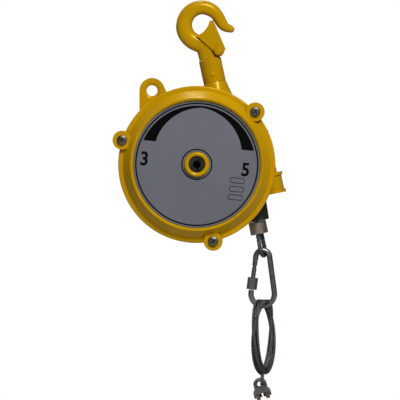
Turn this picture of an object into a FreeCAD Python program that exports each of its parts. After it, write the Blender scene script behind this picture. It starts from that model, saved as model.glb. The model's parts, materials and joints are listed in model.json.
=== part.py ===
import FreeCAD, Part

import math
import os
from types import SimpleNamespace

import Sketcher
from FreeCAD import Vector

# Spring tool balancer: a round die-cast casing with a rope drum and a spiral spring, hung from a
# forged swivel hook. A steel rope leaves the casing through a guide and carries a screw carabiner,
# and a short safety rope is hanked on the carabiner, with a wire-rope clip on its end.
#
# Row frame: origin at the seat of the hook, X to the right, Y to the back, Z up.
# Casing frame: origin on the drum axis in the seam plane, y to the back, z along the hook's shank.

# Driving dimensions, in millimetres and degrees
SIZES = {
    # how the balancer hangs
    "hang_tilt": 12.0,
    "hook_offset": 34.0,
    "rope_offset": 46.2,
    "hook_drop": 133.0,
    "suspension_depth": 20.0,
    # fits
    "running_gap": 0.05,
    "free_gap": 0.3,
    # front cover
    "casing_radius": 77.0,
    "casing_wall": 4.0,
    "flange_front": 6.0,
    "lip_radius": 64.7,
    "lip_front": 16.0,
    "recess_front": 12.5,
    "hub_radius": 12.3,
    "hub_front": 15.0,
    "hub_bore": 8.0,
    "spigot_radius": 73.0,
    "spigot_length": 2.0,
    "label_thickness": 0.6,
    # casing ears and their screws
    "ear_radius": 9.3,
    "ear_front": 10.0,
    "ear_back": 14.0,
    "screw_radius": 2.1,
    "screw_head_radius": 5.0,
    "screw_head_height": 3.0,
    "screw_reach": 22.0,
    # rear housing
    "flange_back": 5.5,
    "wall_front_radius": 75.5,
    "wall_back_radius": 71.5,
    "housing_depth": 45.0,
    "corner_radius": 7.0,
    "back_boss_radius": 22.0,
    "back_boss_height": 5.0,
    # safety ear
    "safety_x": -27.9,
    "safety_rise": 80.1,
    "safety_hole": 5.3,
    "safety_radius": 12.4,
    "safety_thickness": 8.0,
    "safety_chamfer": 1.2,
    # neck, swivel stem and nut
    "neck_top": 75.5,
    "neck_radius": 10.9,
    "neck_slope": 13.0,
    "stem_radius": 5.0,
    "nut_seat": 54.5,
    "washer_thickness": 1.2,
    "nut_flats": 14.0,
    "nut_height": 6.0,
    "barrel_radius": 11.0,
    "barrel_top": 99.0,
    "pin_rise": 82.8,
    "pin_radius": 1.5,
    # hook and latch
    "bowl_radius": 10.3,
    "latch_sheet": 1.5,
    "latch_gap": 15.6,
    "latch_pin_x": 10.05,
    "latch_pin_rise": -28.2,
    "latch_pin_radius": 2.5,
    "latch_head_radius": 4.8,
    # arbor, bushes and drum
    "arbor_radius": 11.0,
    "journal_radius": 9.0,
    "arbor_hollow": 3.9,
    "bush_wall": 2.0,
    "web_front": 17.0,
    "web_thickness": 3.5,
    "drum_hub_back": 27.5,
    "cup_radius": 41.0,
    "cup_front": 4.5,
    "rope_radius": 1.75,
    "rope_pitch": 4.4,
    "rope_rise": 1.9,
    "rope_turns": 5,
    "flange_lift": 4.0,
    "cover_plate": 1.5,
    "spring_strip": 0.7,
    "spring_turns": 9,
    # worm drive
    "gear_module": 2.0,
    "wheel_teeth": 62,
    "wheel_width": 6.0,
    "worm_pitch_radius": 5.0,
    "worm_length": 24.0,
    "worm_journal": 3.5,
    "worm_exit": 44.0,
    "worm_boss_top": 23.4,
    "worm_rim_radius": 13.5,
    "worm_waist_radius": 12.2,
    "worm_rim_height": 3.4,
    "worm_key_flats": 5.0,
    # rope guide and ferrule
    "guide_seat": 49.0,
    "guide_end": 66.8,
    "guide_top_radius": 13.1,
    "guide_end_radius": 12.3,
    "guide_bore": 4.0,
    "guide_spigot": 10.0,
    "ferrule_radius": 8.7,
    "ferrule_top": 67.1,
    "ferrule_end": 79.6,
    # rope eye and carabiner
    "eye_lean": 10.7,
    "eye_turn": 24.0,
    "eye_drop": 16.1,
    "wire_radius": 2.75,
    "carabiner_top_radius": 6.75,
    "carabiner_base_radius": 11.5,
    "carabiner_spread": 36.25,
    "gate_radius": 2.2,
    "gate_top": 7.1,
    "gate_length": 26.4,
    "gate_nut_flats": 8.8,
    "gate_nut_length": 11.8,
    # safety rope and its clip
    "hank_half_height": 36.2,
    "hank_half_width": 16.4,
    "hank_turn": 58.0,
    "clip_drop": 77.3,
    "clip_shift": -2.6,
    "clip_roll": 14.0,
    "clip_span": 9.4,
    "clip_rod": 1.9,
}

document = FreeCAD.newDocument("balancer")
sheet = document.addObject("Spreadsheet::Sheet", "Sizes")
for row, (name, number) in enumerate(SIZES.items(), start=1):
    sheet.set(f"A{row}", name)
    sheet.set(f"B{row}", str(number))
    sheet.setAlias(f"B{row}", name)
document.recompute()


class Size:
    """A size worked out from the sheet: its number, and the formula that keeps it bound."""

    def __init__(self, number, formula):
        self.number = float(number)
        self.formula = formula

    def __float__(self):
        return self.number

    def __add__(self, other):
        other = size_of(other)
        return Size(self.number + other.number, f"({self.formula} + {other.formula})")

    def __sub__(self, other):
        other = size_of(other)
        return Size(self.number - other.number, f"({self.formula} - {other.formula})")

    def __mul__(self, other):
        other = size_of(other)
        return Size(self.number * other.number, f"({self.formula} * {other.formula})")

    def __truediv__(self, other):
        other = size_of(other)
        return Size(self.number / other.number, f"({self.formula} / {other.formula})")

    def __neg__(self):
        return Size(-self.number, f"(0 - {self.formula})")

    def __radd__(self, other):
        return size_of(other) + self

    def __rsub__(self, other):
        return size_of(other) - self

    def __rmul__(self, other):
        return size_of(other) * self


def size_of(value):
    if isinstance(value, Size):
        return value
    if value < 0:
        return Size(value, f"(0 - {-value})")
    return Size(value, str(value))


def sine(angle):
    angle = size_of(angle)
    return Size(math.sin(math.radians(angle.number)), f"sin({angle.formula} * 1 deg)")


def cosine(angle):
    angle = size_of(angle)
    return Size(math.cos(math.radians(angle.number)), f"cos({angle.formula} * 1 deg)")


def tangent(angle):
    return sine(angle) / cosine(angle)


d = SimpleNamespace(**{name: Size(number, f"Sizes.{name}") for name, number in SIZES.items()})
DOWN = Vector(0, 0, -1)
UP = Vector(0, 0, 1)
BACK = Vector(0, 1, 0)
FRONT = Vector(0, -1, 0)
RIGHT = Vector(1, 0, 0)
pieces = []


# ---- helpers that make the sketches, features and shapes -----------------------------------------


def body(label):
    piece = document.addObject("PartDesign::Body", label)
    piece.Label = label
    pieces.append(piece)
    return piece


def plane(piece, role):
    return next(feature for feature in piece.Origin.OriginFeatures if feature.Role == role)


def bind(item, path, size):
    item.setExpression(path, size_of(size).formula)


def sketch(piece, role, lift=0.0):
    """A sketch on one of the body's own planes, lifted along the plane's normal."""
    drawing = piece.newObject("Sketcher::SketchObject", "Sketch")
    drawing.AttachmentSupport = (plane(piece, role), [""])
    drawing.MapMode = "FlatFace"
    if lift:
        drawing.AttachmentOffset = FreeCAD.Placement(Vector(0, 0, float(lift)), FreeCAD.Rotation())
        bind(drawing, "AttachmentOffset.Base.z", lift)
    return drawing


def pin_point(drawing, edge, end, point):
    for kind, size in zip(("DistanceX", "DistanceY"), point):
        index = drawing.addConstraint(Sketcher.Constraint(kind, -1, 1, edge, end, float(size)))
        bind(drawing, f"Constraints[{index}]", size)


def outline(drawing, points):
    """A closed outline: each point is (x, y), or (x, y, radius) where an arc leads to it.

    A positive radius bulges to the right of the way from the last point, a negative one to the left."""
    count = len(points)
    for index, corner in enumerate(points):
        ahead = points[(index + 1) % count]
        start = Vector(float(corner[0]), float(corner[1]), 0)
        end = Vector(float(ahead[0]), float(ahead[1]), 0)
        if len(ahead) == 3:
            drawing.addGeometry(arc_between(start, end, float(ahead[2])), False)
        else:
            drawing.addGeometry(Part.LineSegment(start, end), False)
    for index, corner in enumerate(points):
        ahead = points[(index + 1) % count]
        start_end = ends(points, index)
        next_start = ends(points, (index + 1) % count)[0]
        drawing.addConstraint(
            Sketcher.Constraint("Coincident", index, start_end[1], (index + 1) % count, next_start)
        )
        if len(ahead) == 3:
            radius = size_of(ahead[2])
            radius = radius if radius.number > 0 else -radius
            arc = drawing.addConstraint(Sketcher.Constraint("Radius", index, radius.number))
            bind(drawing, f"Constraints[{arc}]", radius)
    for index, corner in enumerate(points):
        pin_point(drawing, index, ends(points, index)[0], corner[:2])


def ends(points, index):
    """Which ends of an edge are its start and finish: an arc runs anticlockwise, so one may be turned."""
    ahead = points[(index + 1) % len(points)]
    if len(ahead) == 3 and float(ahead[2]) < 0:
        return 2, 1
    return 1, 2


def arc_between(start, end, radius):
    chord = end - start
    middle = (start + end) * 0.5
    left = Vector(-chord.y, chord.x, 0).normalize()
    reach = math.sqrt(max(radius * radius - chord.Length**2 / 4, 0.0))
    side = 1 if radius > 0 else -1
    centre = middle + left * (reach * side)
    crown = centre - left * (abs(radius) * side)
    return Part.Arc(start, crown, end)


def circles(drawing, rings):
    """Circles given as (x, y, radius)."""
    for index, (x, y, radius) in enumerate(rings):
        drawing.addGeometry(Part.Circle(Vector(float(x), float(y), 0), UP, float(radius)), False)
        pin_point(drawing, index, 3, (x, y))
        width = drawing.addConstraint(Sketcher.Constraint("Radius", index, float(radius)))
        bind(drawing, f"Constraints[{width}]", radius)


def turn(piece, role, points, cut=False):
    """Turns an outline about the vertical axis of its sketch, as a solid or as a cut."""
    drawing = sketch(piece, role)
    outline(drawing, points)
    kind = "PartDesign::Groove" if cut else "PartDesign::Revolution"
    feature = piece.newObject(kind, "Turned")
    feature.Profile = drawing
    feature.ReferenceAxis = (drawing, ["V_Axis"])
    feature.Angle = 360
    drawing.Visibility = False
    return feature


def pad(piece, drawing, length, backwards=False, cut=False):
    feature = piece.newObject("PartDesign::Pocket" if cut else "PartDesign::Pad", "Padded")
    feature.Profile = drawing
    feature.Length = float(length)
    bind(feature, "Length", length)
    feature.Reversed = backwards
    return feature


def block(piece, kind, role, offset, sizes):
    """A PartDesign primitive, such as AdditiveCylinder, set off from one of the body's planes."""
    feature = piece.newObject(f"PartDesign::{kind}", kind)
    feature.AttachmentSupport = (plane(piece, role), [""])
    feature.MapMode = "FlatFace"
    base = Vector(*(float(value) for value in offset))
    feature.AttachmentOffset = FreeCAD.Placement(base, FreeCAD.Rotation())
    for axis, value in zip("xyz", offset):
        bind(feature, f"AttachmentOffset.Base.{axis}", value)
    for name, value in sizes.items():
        bind(feature, name, value)
    return feature


def shaped(label, shape):
    """A piece whose shape is made with Part's own functions."""
    piece = document.addObject("Part::Feature", label)
    piece.Label = label
    piece.Shape = Part.Compound([shape])
    pieces.append(piece)
    return piece


def turned_shape(points, centre=Vector(0, 0, 0), axis=UP):
    """A solid of revolution from (radius, height) points, turned about Z and stood on an axis."""
    corners = [Vector(float(radius), 0, float(height)) for radius, height in points]
    face = Part.Face(Part.makePolygon(corners + corners[:1]))
    solid = face.revolve(Vector(0, 0, 0), UP, 360)
    solid.Placement = FreeCAD.Placement(centre, FreeCAD.Rotation(UP, axis))
    return solid


def rod(radius, start, end):
    return Part.makeCylinder(float(radius), (end - start).Length, start, end - start)


def hexagon(flats, height, centre, axis=UP, turn_by=0.0):
    """A hexagonal prism, standing on its centre along an axis."""
    corner = float(flats) / 2 / math.cos(math.pi / 6)
    points = [
        Vector(corner * math.cos(math.radians(60 * k)), corner * math.sin(math.radians(60 * k)), 0)
        for k in range(7)
    ]
    prism = Part.Face(Part.makePolygon(points)).extrude(Vector(0, 0, float(height)))
    turn_up = FreeCAD.Rotation(UP, axis).multiply(FreeCAD.Rotation(UP, turn_by))
    prism.Placement = FreeCAD.Placement(centre, turn_up)
    return prism


def tube(points, radius, corner=None):
    """A round bar along straight runs joined by tangent arcs, open at both ends."""
    edges = []
    last = points[0]
    for before, here, after in zip(points, points[1:], points[2:]):
        back = (before - here).normalize()
        ahead = (after - here).normalize()
        half = (math.pi - back.getAngle(ahead)) / 2
        shorter = min((before - here).Length, (after - here).Length)
        bend = corner if corner else 0.45 * shorter / math.tan(half)
        reach = bend * math.tan(half)
        start = here + back * reach
        end = here + ahead * reach
        inward = (back + ahead).normalize()
        crown = here + inward * (bend / math.cos(half) - bend)
        if (start - last).Length > 1e-6:
            edges.append(Part.LineSegment(last, start).toShape())
        edges.append(Part.Arc(start, crown, end).toShape())
        last = end
    edges.append(Part.LineSegment(last, points[-1]).toShape())
    spine = Part.Wire(edges)
    heading = points[1] - points[0]
    ring = Part.Wire([Part.makeCircle(float(radius), points[0], heading)])
    return spine.makePipeShell([ring], True, False)


def pear_points(top_radius, base_radius, spread):
    """Where the straight sides of a pear-shaped loop leave its two arcs, on the right-hand side."""
    lean = math.asin((base_radius - top_radius) / spread)
    out = Vector(math.cos(lean), 0, math.sin(lean))
    return out * top_radius, out * base_radius + Vector(0, 0, -spread), lean


# ---- where the groups hang ------------------------------------------------------------------------

casing_x = d.hook_drop * sine(d.hang_tilt) - d.hook_offset * cosine(d.hang_tilt)
casing_z = -d.bowl_radius - d.hook_offset * sine(d.hang_tilt) - d.hook_drop * cosine(d.hang_tilt)
casing_place = FreeCAD.Placement(
    Vector(float(casing_x), -float(d.suspension_depth), float(casing_z)),
    FreeCAD.Rotation(BACK, -float(d.hang_tilt)),
)


def hang_in_casing(piece):
    piece.Placement = casing_place
    if piece.isDerivedFrom("Part::Feature") and not piece.isDerivedFrom("PartDesign::Body"):
        return piece
    bind(piece, "Placement.Base.x", casing_x)
    bind(piece, "Placement.Base.y", -d.suspension_depth)
    bind(piece, "Placement.Base.z", casing_z)
    bind(piece, "Placement.Rotation.Axis.x", 0)
    bind(piece, "Placement.Rotation.Axis.y", 1)
    bind(piece, "Placement.Rotation.Axis.z", 0)
    piece.setExpression("Placement.Rotation.Angle", "-Sizes.hang_tilt * 1 deg")
    return piece


# ---- front cover, label and casing screws ---------------------------------------------------------

EAR_ANGLES = (30, 150, 270)
band_radius = d.casing_radius - 4.5
recess_radius = d.lip_radius - 2.4
label_radius = recess_radius - d.free_gap
ear_places = [(d.casing_radius * cosine(angle), d.casing_radius * sine(angle)) for angle in EAR_ANGLES]

# The cover is die cast: a flat flange, a raised cone, a recess for the label and a round hub
cover = body("front_cover")
turn(cover, "XY_Plane", [
    (d.hub_bore, -d.hub_front),
    (d.hub_radius, -d.hub_front, 2.3),
    (d.hub_radius, -d.recess_front),
    (recess_radius, -d.recess_front),
    (recess_radius + 0.2, 1.4 - d.lip_front),
    (d.lip_radius - 0.5, -d.lip_front),
    (d.lip_radius + 0.4, -d.lip_front),
    (band_radius, -d.flange_front),
    (d.casing_radius - 1.2, -d.flange_front),
    (d.casing_radius, 1.2 - d.flange_front, 1.2),
    (d.casing_radius, 0),
    (d.spigot_radius, 0),
    (d.spigot_radius, d.spigot_length),
    (d.spigot_radius - 2, d.spigot_length),
    (d.spigot_radius - 2, -1.5),
    (recess_radius, d.casing_wall - d.recess_front),
    (d.hub_radius, d.casing_wall - d.recess_front),
    (d.hub_radius, d.casing_wall + 1.7 - d.recess_front),
    (d.hub_bore, d.casing_wall + 1.7 - d.recess_front),
])
ears = sketch(cover, "XZ_Plane")
circles(ears, [(x, z, d.ear_radius) for x, z in ear_places])
pad(cover, ears, d.ear_front)
holes = sketch(cover, "XZ_Plane", lift=-d.spigot_length)
circles(holes, [(x, z, d.screw_radius + 0.6) for x, z in ear_places])
pad(cover, holes, d.ear_front + d.spigot_length, cut=True, backwards=True)
hang_in_casing(cover)

label = body("label_disc")
rim = sketch(label, "XZ_Plane", lift=d.recess_front)
circles(rim, [(0, 0, label_radius), (0, 0, d.hub_radius + d.free_gap)])
pad(label, rim, d.label_thickness)
hang_in_casing(label)


def pan_head_screw(place, seat, reach):
    """A pan-head screw pointing to the back, its head standing on the ear's face."""
    head_radius = float(d.screw_head_radius)
    head_height = float(d.screw_head_height)
    screw = turned_shape([
        (0, head_height), (head_radius * 0.6, head_height), (head_radius * 0.92, head_height * 0.7),
        (head_radius, head_height * 0.25), (head_radius, 0), (d.screw_radius, 0),
        (d.screw_radius, 0.8 - reach), (float(d.screw_radius) - 0.8, -reach), (0, -reach),
    ])
    for turn_by in (20, 110):
        slot = Part.makeBox(5.4, 1.1, 1.7, Vector(-2.7, -0.55, head_height - 1.7))
        slot.rotate(Vector(0, 0, 0), UP, turn_by)
        screw = screw.cut(slot)
    screw.Placement = FreeCAD.Placement(Vector(place[0], -seat, place[1]), FreeCAD.Rotation(UP, FRONT))
    return screw


casing_screws = shaped("casing_screws", Part.Compound([
    pan_head_screw((float(x), float(z)), float(d.ear_front), float(d.screw_reach)) for x, z in ear_places
]))
hang_in_casing(casing_screws)


# ---- rear housing ---------------------------------------------------------------------------------

worm_x = d.gear_module * d.wheel_teeth / 2 + d.worm_pitch_radius
wheel_front = d.housing_depth - d.casing_wall - d.wheel_width - 2
worm_y = wheel_front + d.wheel_width / 2
wall_end = d.housing_depth - d.corner_radius
inner_corner = d.corner_radius - d.casing_wall
back_journal_front = wheel_front + d.wheel_width + 0.4
bush_outer = d.journal_radius + d.bush_wall
worm_tip = d.worm_pitch_radius + d.gear_module
worm_bore = worm_tip + d.free_gap
worm_top = d.worm_length / 2 + d.free_gap

# A deep die-cast cup with the neck, the safety ear, the worm tunnel and the guide's socket on it
housing = body("rear_housing")
turn(housing, "XY_Plane", [
    (0, 0),
    (d.casing_radius, 0),
    (d.casing_radius, d.flange_back),
    (d.wall_front_radius, d.flange_back + 1.5),
    (d.wall_back_radius, wall_end),
    (d.wall_back_radius - d.corner_radius, d.housing_depth, d.corner_radius),
    (d.back_boss_radius + 2, d.housing_depth),
    (d.back_boss_radius, d.housing_depth + d.back_boss_height),
    (0, d.housing_depth + d.back_boss_height),
])
ears = sketch(housing, "XZ_Plane")
circles(ears, [(x, z, d.ear_radius) for x, z in ear_places])
pad(housing, ears, d.ear_back, backwards=True)
neck_root = d.neck_top - 24
block(housing, "AdditiveCone", "XY_Plane", (d.hook_offset, d.suspension_depth, neck_root), {
    "Radius1": d.neck_radius + 24 * tangent(d.neck_slope),
    "Radius2": d.neck_radius,
    "Height": 24,
})
safety_side = d.safety_radius * cosine(12)
safety_foot = safety_side + 40 * tangent(12)
safety = sketch(housing, "XZ_Plane", lift=-(d.suspension_depth + d.safety_thickness / 2))
outline(safety, [
    (d.safety_x - safety_side, d.safety_rise + d.safety_radius * sine(12), d.safety_radius),
    (d.safety_x - safety_foot, d.safety_rise - 38),
    (d.safety_x + safety_foot, d.safety_rise - 38),
    (d.safety_x + safety_side, d.safety_rise + d.safety_radius * sine(12)),
    (d.safety_x, d.safety_rise + d.safety_radius, d.safety_radius),
])
pad(housing, safety, d.safety_thickness)
block(housing, "AdditiveCylinder", "XY_Plane", (worm_x, worm_y, -d.worm_exit + 2), {
    "Radius": worm_bore + 1.3,
    "Height": d.worm_exit + worm_top + d.worm_journal + 1,
})
block(housing, "AdditiveCylinder", "XY_Plane", (worm_x, worm_y, -d.worm_exit), {
    "Radius": d.worm_waist_radius,
    "Height": d.worm_exit - d.worm_boss_top,
})
for foot in (-d.worm_exit, -d.worm_boss_top - d.worm_rim_height):
    block(housing, "AdditiveCylinder", "XY_Plane", (worm_x, worm_y, foot), {
        "Radius": d.worm_rim_radius,
        "Height": d.worm_rim_height,
    })
block(housing, "AdditiveCylinder", "XY_Plane", (d.rope_offset, d.suspension_depth, -d.guide_seat), {
    "Radius": d.guide_top_radius,
    "Height": d.guide_seat / 2,
})
turn(housing, "XY_Plane", [
    (0, -1),
    (d.wall_front_radius - d.casing_wall, -1),
    (d.wall_front_radius - d.casing_wall, d.flange_back),
    (d.wall_back_radius - d.casing_wall, wall_end),
    (d.wall_back_radius - d.corner_radius, d.housing_depth - d.casing_wall, inner_corner),
    (0, d.housing_depth - d.casing_wall),
], cut=True)
block(housing, "AdditiveCylinder", "XY_Plane", (d.hook_offset, d.suspension_depth, d.nut_seat), {
    "Radius": d.nut_flats / 2 + 3,
    "Height": 8,
})
back_boss = sketch(housing, "XZ_Plane", lift=-(d.housing_depth - d.casing_wall / 2))
circles(back_boss, [(0, 0, bush_outer + 4)])
pad(housing, back_boss, d.housing_depth - d.casing_wall / 2 - back_journal_front - 1)
register = sketch(housing, "XZ_Plane", lift=-d.spigot_length - 0.2)
circles(register, [(0, 0, d.spigot_radius + 0.1)])
pad(housing, register, d.spigot_length + 0.2, cut=True, backwards=True)
threads = sketch(housing, "XZ_Plane", lift=-(d.screw_reach - d.ear_front + 1))
circles(threads, [(x, z, d.screw_radius) for x, z in ear_places])
pad(housing, threads, d.screw_reach - d.ear_front + 1, cut=True, backwards=True)
back_bore = sketch(housing, "XZ_Plane", lift=-(d.housing_depth + 1.5))
circles(back_bore, [(0, 0, d.hub_bore + d.bush_wall)])
pad(housing, back_bore, d.housing_depth + 1.5 - back_journal_front, cut=True, backwards=True)
safety_bore = sketch(housing, "XZ_Plane", lift=-(d.suspension_depth + d.safety_thickness / 2))
circles(safety_bore, [(d.safety_x, d.safety_rise, d.safety_hole)])
pad(housing, safety_bore, d.safety_thickness, cut=True, backwards=True)
block(housing, "SubtractiveCone", "XZ_Plane", (
    d.safety_x, d.safety_rise, -(d.suspension_depth - d.safety_thickness / 2 + d.safety_chamfer)
), {"Radius1": d.safety_hole, "Radius2": d.safety_hole + 2 * d.safety_chamfer, "Height": d.safety_chamfer})
block(housing, "SubtractiveCone", "XZ_Plane", (
    d.safety_x, d.safety_rise, -(d.suspension_depth + d.safety_thickness / 2)
), {"Radius1": d.safety_hole + 2 * d.safety_chamfer, "Radius2": d.safety_hole, "Height": d.safety_chamfer})
block(housing, "SubtractiveCylinder", "XY_Plane", (d.hook_offset, d.suspension_depth, d.nut_seat - 1), {
    "Radius": d.stem_radius + d.running_gap,
    "Height": d.neck_top - d.nut_seat + 2,
})
block(housing, "SubtractiveCylinder", "XY_Plane", (worm_x, worm_y, -d.worm_exit - 1), {
    "Radius": worm_bore,
    "Height": d.worm_exit + 1 + worm_top,
})
block(housing, "SubtractiveCylinder", "XY_Plane", (worm_x, worm_y, worm_top - 1), {
    "Radius": d.worm_journal + d.running_gap,
    "Height": d.worm_journal + 2,
})
block(housing, "SubtractiveCylinder", "XY_Plane", (d.rope_offset, d.suspension_depth, -d.guide_end), {
    "Radius": d.guide_top_radius + 0.05,
    "Height": d.guide_end - d.guide_seat,
})
block(housing, "AdditiveCylinder", "XY_Plane", (d.rope_offset, d.suspension_depth, -d.guide_seat), {
    "Radius": d.guide_top_radius - 0.4,
    "Height": 3.5,
})
block(housing, "SubtractiveCylinder", "XY_Plane", (d.rope_offset, d.suspension_depth, -d.guide_seat - 1), {
    "Radius": d.guide_spigot + 0.05,
    "Height": d.guide_seat / 2 + 2,
})
hang_in_casing(housing)


# ---- swivel: stem, washer, nut and cross pin --------------------------------------------------------

stem_foot = Vector(float(d.hook_offset), float(d.suspension_depth), 0)
nut_foot = d.nut_seat - d.washer_thickness - d.nut_height
stem_top = d.pin_rise + 8


def on_stem(rise):
    return stem_foot + UP * float(rise)


stem = rod(d.stem_radius, on_stem(nut_foot - 1.5), on_stem(stem_top))
cross_hole = rod(d.pin_radius, on_stem(d.pin_rise) + FRONT * 20, on_stem(d.pin_rise) + BACK * 20)
hang_in_casing(shaped("swivel_stem", stem.makeChamfer(0.8, [stem.Edges[0], stem.Edges[2]]).cut(cross_hole)))
washer = rod(d.nut_flats / 2 + 0.8, on_stem(d.nut_seat - d.washer_thickness), on_stem(d.nut_seat))
washer = washer.cut(rod(d.stem_radius + 0.2, on_stem(nut_foot), on_stem(d.nut_seat + 1)))
hang_in_casing(shaped("swivel_washer", washer))
swivel_nut = hexagon(d.nut_flats, d.nut_height, on_stem(nut_foot))
swivel_nut = swivel_nut.cut(rod(d.stem_radius, on_stem(nut_foot - 1), on_stem(d.nut_seat)))
hang_in_casing(shaped("swivel_nut", swivel_nut))
pin_half = float(d.barrel_radius) - 1.2
cross_pin = rod(d.pin_radius, on_stem(d.pin_rise) + FRONT * pin_half, on_stem(d.pin_rise) + BACK * pin_half)
pin_heads = [
    turned_shape([
        (0, 0), (2.3, 0), (2.3, 1.2), (1.7, 1.75), (0.8, 2.0), (0, 2.0)
    ], on_stem(d.pin_rise) + side * pin_half, side) for side in (FRONT, BACK)
]
hang_in_casing(shaped("swivel_pin", cross_pin.fuse(pin_heads)))


# ---- forged hook, safety latch and its rivet --------------------------------------------------------
# These are laid out from the bowl's centre, with z up the shank

hook_place = FreeCAD.Placement(Vector(0, 0, -float(d.bowl_radius)), FreeCAD.Rotation(BACK, -float(d.hang_tilt)))


def bow_section(x, z, heading, width, thickness):
    """A flat-sided oval across the bow at (x, z): heading is the way the bow runs, in degrees from +x."""
    run = Vector(math.cos(math.radians(heading)), 0, math.sin(math.radians(heading)))
    across = BACK.cross(run)
    points = []
    for step in range(12):
        turn = math.radians(30 * step)
        side = math.copysign(abs(math.cos(turn)) ** 0.86, math.cos(turn))
        rise = math.copysign(abs(math.sin(turn)) ** 0.8, math.sin(turn))
        points.append(Vector(x, 0, z) + across * (side * width / 2) + BACK * (rise * thickness / 2))
    outline = Part.BSplineCurve()
    outline.interpolate(points, PeriodicFlag=True)
    return Part.Wire([outline.toShape()])


def bow_at(angle, inside, width, thickness):
    """A section where the bow runs clockwise round the bowl, given its inner radius there."""
    reach = inside + width / 2
    place = math.radians(angle)
    return bow_section(reach * math.cos(place), reach * math.sin(place), angle - 90, width, thickness)


inner = float(d.bowl_radius)
bow = Part.makeLoft([
    bow_at(262, inner + 1, 19.0, 15.0),
    bow_at(236, inner, 16.6, 14.5),
    bow_at(204, inner, 16.2, 14.2),
    bow_at(168, inner, 15.7, 14.0),
    bow_at(123, inner, 14.6, 13.6),
    bow_at(78, inner, 13.7, 13.0),
    bow_at(38, inner + 0.2, 12.8, 12.2),
    bow_at(8, inner + 1.4, 11.6, 11.2),
    bow_section(19.6, -4.3, -72, 10.4, 10.2),
    bow_section(22.8, -7.9, -48, 8.8, 9.0),
    bow_section(26.4, -10.0, -26, 7.0, 7.0),
], True, False)
tip = Part.makeSphere(3.4, Vector(26.5, 0, -10.05))
barrel_foot = float(d.neck_top + d.free_gap - d.hook_drop)
barrel_rise = float(d.barrel_top - d.hook_drop)
barrel = rod(d.barrel_radius, Vector(0, 0, barrel_foot), Vector(0, 0, barrel_rise))
barrel = barrel.makeChamfer(1.0, [edge for edge in barrel.Edges if abs(edge.BoundBox.ZMax - barrel_rise) < 0.1][:1])
shank = Part.makeLoft([
    bow_section(0, barrel_rise - 3, 90, 20.6, 17.0),
    bow_section(-0.3, barrel_rise + 5, 90, 20.2, 14.6),
    bow_section(-0.8, -float(d.bowl_radius) - 9, 92, 20.6, 14.4),
    bow_section(-2.0, -float(d.bowl_radius) - 5.5, 96, 19.0, 12.0),
], True, False)
latch_pin = Vector(float(d.latch_pin_x), 0, float(d.latch_pin_rise))
lug = rod(5.6, latch_pin + FRONT * 4.9, latch_pin + BACK * 4.9)
stem_socket = rod(d.stem_radius, Vector(0, 0, barrel_foot - 1), Vector(0, 0, float(stem_top - d.hook_drop)))
pin_middle = Vector(0, 0, float(d.pin_rise - d.hook_drop))
pin_hole = rod(d.pin_radius, pin_middle + FRONT * 20, pin_middle + BACK * 20)
head_holes = [rod(2.3, pin_middle + side * pin_half, pin_middle + side * 20) for side in (FRONT, BACK)]
spot_faces = [
    rod(6.3, latch_pin + side * 4.9, latch_pin + side * 12) for side in (FRONT, BACK)
]
hook_shape = bow.fuse([tip, shank, barrel, lug]).cut([
    stem_socket, pin_hole, rod(d.latch_pin_radius, latch_pin + FRONT * 9, latch_pin + BACK * 9), *spot_faces, *head_holes
])
shaped("hook", hook_shape.removeSplitter()).Placement = hook_place

# The latch is pressed from one sheet: two cheeks astride the hook, joined by a web along the throat
cheek_corners = [
    Vector(7.5, 0, 2.0), Vector(11.2, 0, 2.2), Vector(17.2, 0, -28.0), Vector(11.9, 0, -34.1),
    Vector(5.6, 0, -27.6), Vector(-8.0, 0, -9.5),
]
hollow_side = Part.Arc(cheek_corners[-1], Vector(0.9, 0, -6.0), cheek_corners[0])
cheek_edges = [
    Part.LineSegment(start, end).toShape() for start, end in zip(cheek_corners, cheek_corners[1:])
]
cheek_face = Part.Face(Part.Wire(cheek_edges + [hollow_side.toShape()]))
half_gap = float(d.latch_gap) / 2
sheet_metal = float(d.latch_sheet)
cheeks = [
    cheek_face.extrude(FRONT * sheet_metal).translated(FRONT * half_gap),
    cheek_face.extrude(BACK * sheet_metal).translated(BACK * half_gap),
]
web_run = (cheek_corners[2] - cheek_corners[1]).normalize()
web_in = BACK.cross(web_run) * sheet_metal
web_start = cheek_corners[1]
web_end = cheek_corners[1] + web_run * 11
web_face = Part.Face(Part.makePolygon([
    web_start, web_end, web_end + web_in, web_start + web_in, web_start
]))
web = web_face.translated(FRONT * half_gap).extrude(BACK * half_gap * 2)
latch_holes = rod(float(d.latch_pin_radius) + 0.05, latch_pin + FRONT * 20, latch_pin + BACK * 20)
shaped("latch", cheeks[0].fuse([cheeks[1], web]).cut(latch_holes).removeSplitter()).Placement = hook_place

rivet_half = half_gap + sheet_metal
rivet = rod(d.latch_pin_radius, latch_pin + FRONT * rivet_half, latch_pin + BACK * rivet_half)
rivet_head = turned_shape(
    [(0, 0), (d.latch_head_radius, 0), (float(d.latch_head_radius) - 0.9, 1.5), (0, 1.9)],
    latch_pin + FRONT * rivet_half, FRONT,
)
rivet_tail = turned_shape(
    [(0, 0), (d.latch_head_radius, 0), (float(d.latch_head_radius) - 0.9, 1.5), (0, 1.9)],
    latch_pin + BACK * rivet_half, BACK,
)
shaped("latch_rivet", rivet.fuse([rivet_head, rivet_tail])).Placement = hook_place
coil_outer = float(d.latch_pin_radius) + 1.6
latch_coils = [
    rod(coil_outer, latch_pin + side * 5.2, latch_pin + side * 7.4).cut(
        rod(d.latch_pin_radius, latch_pin + side * 5, latch_pin + side * 8))
    for side in (FRONT, BACK)
]
shaped("latch_spring", Part.Compound(latch_coils)).Placement = hook_place


# ---- arbor, bushes and spring drum ------------------------------------------------------------------

front_journal = d.hub_bore - d.running_gap
back_journal = d.hub_bore - d.running_gap
cover_back = d.casing_wall + 1.7 - d.recess_front
plate_front = -d.cup_front - d.cover_plate

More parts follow.
